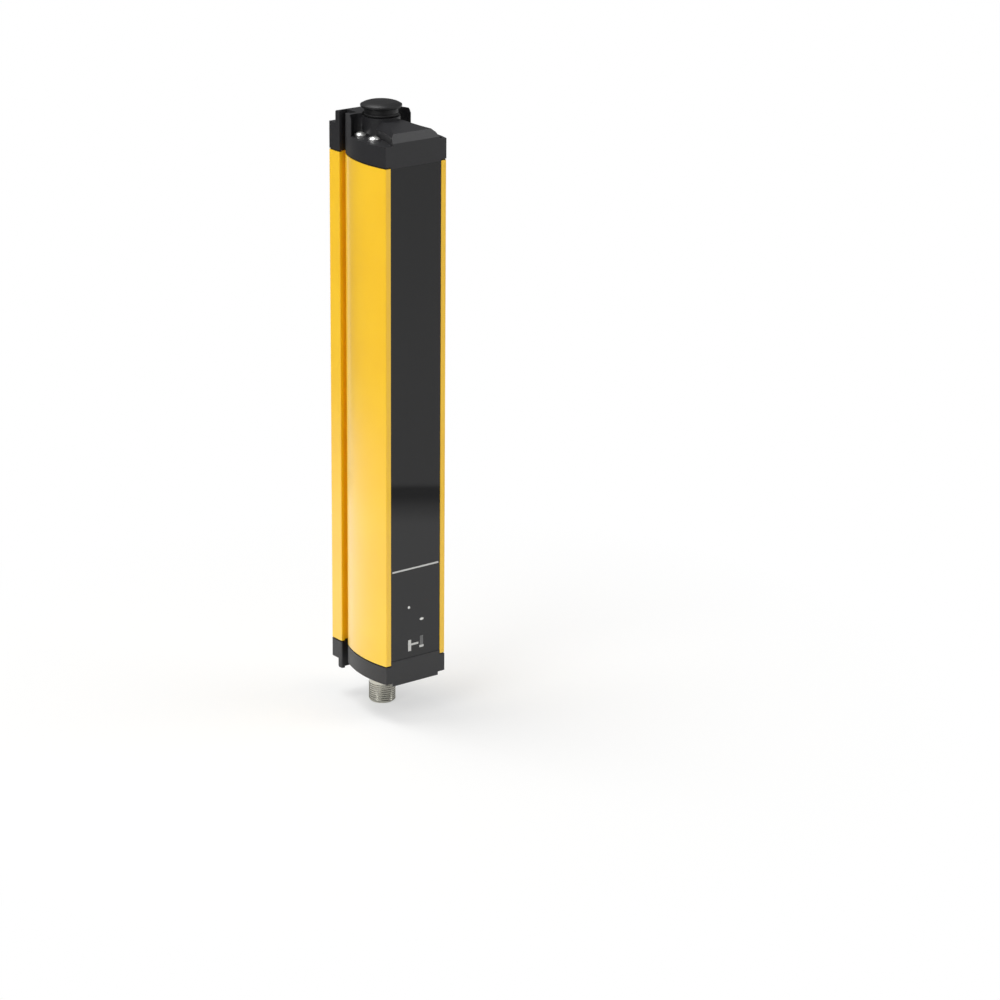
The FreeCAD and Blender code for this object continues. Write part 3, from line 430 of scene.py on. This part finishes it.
class LIGHTCURTAIN_OT_window(bpy.types.Operator):
    """Smoked window with its marking line, status lights and pictogram"""
    bl_idname = "lightcurtain.window"
    bl_label = "Window and marks"

    def execute(self, context):
        look = context.scene.window_look
        dress(smoked_acrylic(look), "front_window")
        low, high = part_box("front_window")
        profile_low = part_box("housing_profile")[0].z
        faces = low.y, low.y - look.ink_thickness            # back and front of every print
        z = profile_low + look.line_height
        line = rectangle(low.x + look.line_margin, high.x - look.line_margin, z, z + look.line_width)
        printed("marking_line", line, printed_ink("white marking ink", "D6D6D4"), *faces)
        self.status_lights(faces)
        self.pictogram(profile_low, faces)
        return {"FINISHED"}

    def status_lights(self, faces):
        """Bright windows in front of the two light guides, one round and one flattened."""
        glow = printed_ink("lit light guide", "E4E4E0", 0.12)
        points = 32
        spots = ((0.62, 1.0, 1.1), (1.05, 0.55, 0.5))        # radius, flattening, rise above the guide's middle
        for k, (radius, flattening, rise) in enumerate(spots, 1):
            low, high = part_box("light_guide_%d" % k)
            centre = (low + high) / 2
            ring = []
            for i in range(points):
                a = 2 * math.pi * i / points
                ring.append((centre.x + radius * MM * math.cos(a),
                             centre.z + (rise + radius * flattening * math.sin(a)) * MM))
            printed("status_window_%d" % k, ring, glow, *faces)

    def pictogram(self, profile_low, faces):
        """Plain sign for a bar that sends beams: a post, a beam, and a fainter post on its foot."""
        bright = printed_ink("white pictogram ink", "D9D9D6")
        faint = printed_ink("grey pictogram ink", "727272")
        beam_height = 7.2                                    # above the profile's lower end
        # name, ink, then left, right, low and high in mm, from the bar's middle and the beam's height
        bars = (("post", bright, -3.9, -2.3, -2.6, 2.6), ("beam", bright, -2.3, 1.6, -0.1, 0.8),
                ("far_post", faint, 2.5, 4.2, -1.0, 3.4), ("foot", bright, 2.2, 4.5, -2.0, -1.0))
        for name, ink, left, right, low, high in bars:
            outline = [(x * MM, profile_low + (beam_height + z) * MM)
                       for x, z in rectangle(left, right, low, high)]
            printed("pictogram_" + name, outline, ink, *faces)


class LIGHTCURTAIN_OT_caps(bpy.types.Operator):
    """Moulded end caps, top plug, gaskets, rings and cap screws"""
    bl_idname = "lightcurtain.caps"
    bl_label = "Caps, plug and screws"

    def execute(self, context):
        dress(moulded_pbt("glass-filled polyester", "222224", 0.42), "top_cap", "bottom_cap")
        dress(moulded_pbt("plug polyester", "161617", 0.42), "top_plug")
        dress(rubber("seal rubber", "121213", 0.6, 0.8), "window_gasket_left", "window_gasket_right",
              "top_cap_gasket", "bottom_cap_gasket", "top_plug_o_ring", "connector_o_ring")
        dress(rubber("cellular rubber", "1B1B1C", 0.9, 0.5), "carrier_pad_bottom", "carrier_pad_top")
        dress(plated("zinc-plated steel", "F4F4F2", 0.36, 0.1), *numbered("top_cap_screw", 4),
              *numbered("bottom_cap_screw", 4))
        return {"FINISHED"}


class LIGHTCURTAIN_OT_connector(bpy.types.Operator):
    """Round connector: threaded nickel-plated shell, insert, contacts and retaining ring"""
    bl_idname = "lightcurtain.connector"
    bl_label = "Connector"

    def execute(self, context):
        look = context.scene.connector_look
        nickel = plated("nickel-plated brass", "DCDACF", 0.2, 0.06)
        low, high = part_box("connector_shell")
        insert_low, insert_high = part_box("connector_insert")
        ring_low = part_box("connector_retaining_ring")[0].z
        axis_y = (low.y + high.y) / 2
        insert_gap, chamfer, flange_height = 0.05 * MM, 0.5 * MM, 1.5 * MM
        flange_radius, thread_radius, tail_radius = high.x, 6.0 * MM, 5.5 * MM
        bore = (insert_high.x - insert_low.x) / 2 + insert_gap
        core = thread_radius - look.depth
        neck = thread_radius - 0.2 * MM
        lead_in = 0.7 * MM                                   # plain length below the first turn
        undercut = 0.2 * MM                                  # core left plain above the last turn, and its slope
        thread_low, thread_high = low.z + lead_in, low.z + look.run_out
        flange_low = ring_low - flange_height
        points = [(bore, low.z), (core - chamfer, low.z), (core, low.z + chamfer), (core, thread_high + undercut),
                  (neck, thread_high + 2 * undercut), (neck, flange_low), (flange_radius, flange_low),
                  (flange_radius, ring_low), (tail_radius, ring_low), (tail_radius, high.z), (bore, high.z)]
        bm = lathe(points, axis_y, steps=128)
        thread = grown(thread_tree(nickel), "thread", Pitch=look.pitch, Depth=look.depth,
                       Length=thread_high - thread_low, Radius=thread_radius, Segments=look.segments,
                       Place=(0.0, axis_y, thread_low))
        bm.from_mesh(thread)
        bpy.data.meshes.remove(thread)
        shell = finished("threaded_shell", to_mesh(bm, "threaded_shell", True), nickel)
        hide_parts("connector_shell")
        dress(nickel, "connector_retaining_ring")
        dress(plated("gold-plated brass", "D9B25A", 0.2, 0.08), *numbered("connector_contact", 5))
        dress(moulded_pbt("black polyamide", "151516", 0.45), "connector_insert", "edge_socket",
              "board_header_socket", "board_header_plug")
        return {"FINISHED"}


class LIGHTCURTAIN_OT_optics(bpy.types.Operator):
    """Light-absorbing carrier, lens strip, emitters, status lights and guides"""
    bl_idname = "lightcurtain.optics"
    bl_label = "Optics"

    def execute(self, context):
        dress(moulded_pbt("black carrier", "101011", 0.7), "optics_carrier")
        dress(clear_resin("clear lens acrylic", "E4E8EC", 0.03, 0.85), "lens_strip")
        dress(clear_resin("light guide acrylic", "EEF0F0", 0.05, 0.6), *numbered("light_guide", 2))
        dress(clear_resin("tinted emitter epoxy", "3A2E5C", 0.08, 0.35), *numbered("ir_emitter", 8))
        dress(clear_resin("diffusing resin", "ECE9DA", 0.3, 0.1), *numbered("status_led", 2))
        return {"FINISHED"}


class LIGHTCURTAIN_OT_electronics(bpy.types.Operator):
    """Circuit boards and the parts on them, with the chip's leads"""
    bl_idname = "lightcurtain.electronics"
    bl_label = "Electronics"

    def execute(self, context):
        dress(circuit_laminate(), "connector_board", "control_board", "emitter_board")
        dress(moulded_pbt("chip epoxy", "19191A", 0.5), "controller_chip")
        dress(moulded_pbt("pressed ferrite", "3A3A3D", 0.6), "power_inductor")
        dress(plated("drawn aluminium can", "C9CBCE", 0.25, 0.1), "power_capacitor")
        tin = plated("tinned leads", "CFCFCB", 0.25, 0.1)
        low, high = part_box("controller_chip")
        leads_each_side = 14
        reach, thickness, width = 0.8 * MM, 0.25 * MM, 0.3 * MM
        foot_y = high.y - 0.15 * MM                          # middle of the leads, just off the board
        pitch = (high.z - low.z) / (leads_each_side + 1)
        tree = lead_row_tree(tin)
        for side, x in (("left", low.x - reach / 2), ("right", high.x + reach / 2)):
            leads = grown(tree, "chip_leads_" + side, Count=leads_each_side, Lead_pitch=pitch,
                          Size=(reach, thickness, width), Place=(x, foot_y, low.z + pitch))
            finished("chip_leads_" + side, leads, tin)
        return {"FINISHED"}


class LIGHTCURTAIN_OT_stage(bpy.types.Operator):
    """Pale floor, even studio light, lamps and the camera"""
    bl_idname = "lightcurtain.stage"
    bl_label = "Stage"

    def execute(self, context):
        look = context.scene.stage_look
        self.floor(context, look)
        self.world(context, look)
        target = Vector((0, 0, 0.14))                        # about the middle of the bar
        lamps = (("key", look.key_power, (-1.4, -0.4, 1.05), 0.9),
                 ("fill", look.fill_power, (0.85, -0.65, 1.2), 0.9),
                 ("top", look.top_power, (-0.3, 0.35, 1.5), 0.7))
        for name, power, place, size in lamps:
            data = bpy.data.lights.new(name, "AREA")
            data.energy, data.size = power, size
            lamp = bpy.data.objects.new(name, data)
            lamp.location = place
            lamp.rotation_euler = (target - Vector(place)).to_track_quat("-Z", "Y").to_euler()
            context.scene.collection.objects.link(lamp)
        self.camera(context)
        context.scene.view_settings.view_transform = "Standard"
        return {"FINISHED"}

    def floor(self, context, look):
        """Pale paper that turns to plain white away from the bar. In reflections it ends as a table does."""
        mesh = bpy.data.meshes.new("floor")
        half = 4.0
        mesh.from_pydata([(x, y, 0) for x, y in rectangle(-half, half, -half, half)], [], [(0, 1, 2, 3)])
        floor = bpy.data.objects.new("floor", mesh)
        context.scene.collection.objects.link(floor)
        mat, tree, shader, place = new_material("studio paper")
        fibre = noise(tree, place, 4.0)
        feed(tree, shader, Base_Color=tinted(tree, fibre, linear("F2F2F0"), linear("F4F4F2")), Roughness=0.9)
        away = node(tree, "ShaderNodeVectorMath", {"operation": "LENGTH"}, in0=place).outputs["Value"]
        path = node(tree, "ShaderNodeLightPath").outputs

        # to the camera
        white = node(tree, "ShaderNodeEmission", Color=WHITE, Strength=1.0)
        paper = node(tree, "ShaderNodeMixShader", Fac=remap(tree, away, 0.04, 0.26, look.white_mix, 1.0),
                     in1=shader.outputs[0], in2=white.outputs[0])

        # to reflections: the table's level falls away to the left, and is cut by a dark gap to the right
        left = self.table_levels(tree, away, ((0.0, 1.3), (0.26, 1.25), (0.32, 0.9), (0.39, 0.7), (0.47, 0.3),
                                              (0.55, 0.16), (0.72, 0.12)))
        right = self.table_levels(tree, away, ((0.28, 0.98), (0.305, 0.62), (0.322, 0.3), (0.338, 0.3),
                                               (0.344, 0.74), (0.5, 0.74), (1.04, 0.67)))
        x = node(tree, "ShaderNodeSeparateXYZ", Vector=place).outputs["X"]
        level = node(tree, "ShaderNodeMix", {"data_type": "FLOAT"}, Factor=remap(tree, x, -0.08, 0.04, 0.0, 1.0),
                     in2=left, in3=right)
        table = node(tree, "ShaderNodeEmission", Color=WHITE, Strength=level.outputs[0])
        mirrored = calc(tree, "MULTIPLY", path["Is Glossy Ray"], remap(tree, away, 0.06, 0.12, 0.0, 1.0))
        other = node(tree, "ShaderNodeMixShader", Fac=mirrored, in1=shader.outputs[0], in2=table.outputs[0])

        shown = node(tree, "ShaderNodeMixShader", Fac=path["Is Camera Ray"], in1=other.outputs[0],
                     in2=paper.outputs[0])
        output = next(n for n in tree.nodes if n.type == "OUTPUT_MATERIAL")
        feed(tree, output, Surface=shown.outputs[0])
        mesh.materials.append(mat)

    def table_levels(self, tree, away, stops):
        """Brightness of the table in reflections, from (distance in metres, level) stops."""
        reach, peak = 1.2, 2.0                               # length of the ramp, and the level at its white
        ramp = node(tree, "ShaderNodeValToRGB", Fac=remap(tree, away, 0.0, reach, 0.0, 1.0))
        elements = ramp.color_ramp.elements
        while len(elements) < len(stops):
            elements.new(1.0)
        for element, (distance, level) in zip(elements, stops):
            element.position = distance / reach
            element.color = (level / peak,) * 3 + (1,)
        return calc(tree, "MULTIPLY", ramp.outputs["Color"], peak)

    def world(self, context, look):
        """White to the camera, and an even studio light that is dimmer in reflections."""
        world = bpy.data.worlds.new("studio")
        world.use_nodes = True
        tree = world.node_tree
        tree.nodes.clear()
        path = node(tree, "ShaderNodeLightPath").outputs
        seen = calc(tree, "MAXIMUM", path["Is Camera Ray"], path["Is Transmission Ray"])
        shine = calc(tree, "MULTIPLY", path["Is Glossy Ray"], look.reflected - look.ambient)
        white = calc(tree, "MULTIPLY_ADD", seen, 1.0 - look.ambient, look.ambient)
        light = node(tree, "ShaderNodeBackground", Color=WHITE, Strength=calc(tree, "ADD", shine, white))
        node(tree, "ShaderNodeOutputWorld", Surface=light.outputs[0])
        context.scene.world = world

    def camera(self, context):
        """A long lens in front of the bar and to its left, looking down on it."""
        place = Vector((-0.88386, -1.22593, 0.6033))
        yaw, pitch, roll = math.radians(37.71), math.radians(18.6), math.radians(0.53)
        data = bpy.data.cameras.new("camera")
        data.sensor_width = 36.0
        data.lens = 130.62
        data.clip_end = 20.0
        forward = Vector((math.sin(yaw) * math.cos(pitch), math.cos(yaw) * math.cos(pitch), -math.sin(pitch)))
        level = Vector((math.cos(yaw), -math.sin(yaw), 0))
        above = level.cross(forward)
        right = level * math.cos(roll) + above * math.sin(roll)
        up = above * math.cos(roll) - level * math.sin(roll)
        turn = Matrix((right, up, -forward)).transposed().to_4x4()
        camera = bpy.data.objects.new("camera", data)
        camera.matrix_world = Matrix.Translation(place) @ turn
        context.scene.collection.objects.link(camera)
        context.scene.camera = camera


class LIGHTCURTAIN_PT_panel(bpy.types.Panel):
    """Lists the bar's pieces and their settings"""
    bl_idname = "LIGHTCURTAIN_PT_panel"
    bl_label = "Light Curtain"
    bl_space_type = "VIEW_3D"
    bl_region_type = "UI"
    bl_category = "Light Curtain"

    def draw(self, context):
        for step in STEPS:
            self.layout.operator(step.bl_idname)
        for name, group in SETTINGS.items():
            box = self.layout.box()
            look = getattr(context.scene, name)
            for key in group.__annotations__:
                box.prop(look, key)


SETTINGS = {"housing_look": HousingSettings, "window_look": WindowSettings,
            "connector_look": ConnectorSettings, "stage_look": StageSettings}
STEPS = (LIGHTCURTAIN_OT_stage, LIGHTCURTAIN_OT_housing, LIGHTCURTAIN_OT_window, LIGHTCURTAIN_OT_caps,
         LIGHTCURTAIN_OT_connector, LIGHTCURTAIN_OT_optics, LIGHTCURTAIN_OT_electronics)
CLASSES = tuple(SETTINGS.values()) + STEPS + (LIGHTCURTAIN_PT_panel,)


def register():
    for cls in CLASSES:
        bpy.utils.register_class(cls)
    for name, group in SETTINGS.items():
        setattr(bpy.types.Scene, name, PointerProperty(type=group))


def unregister():
    for name in SETTINGS:
        delattr(bpy.types.Scene, name)
    for cls in reversed(CLASSES):
        bpy.utils.unregister_class(cls)


def main():
    register()
    for step in STEPS:
        family, action = step.bl_idname.split(".")
        getattr(getattr(bpy.ops, family), action)()


if __name__ == "__main__":
    main()
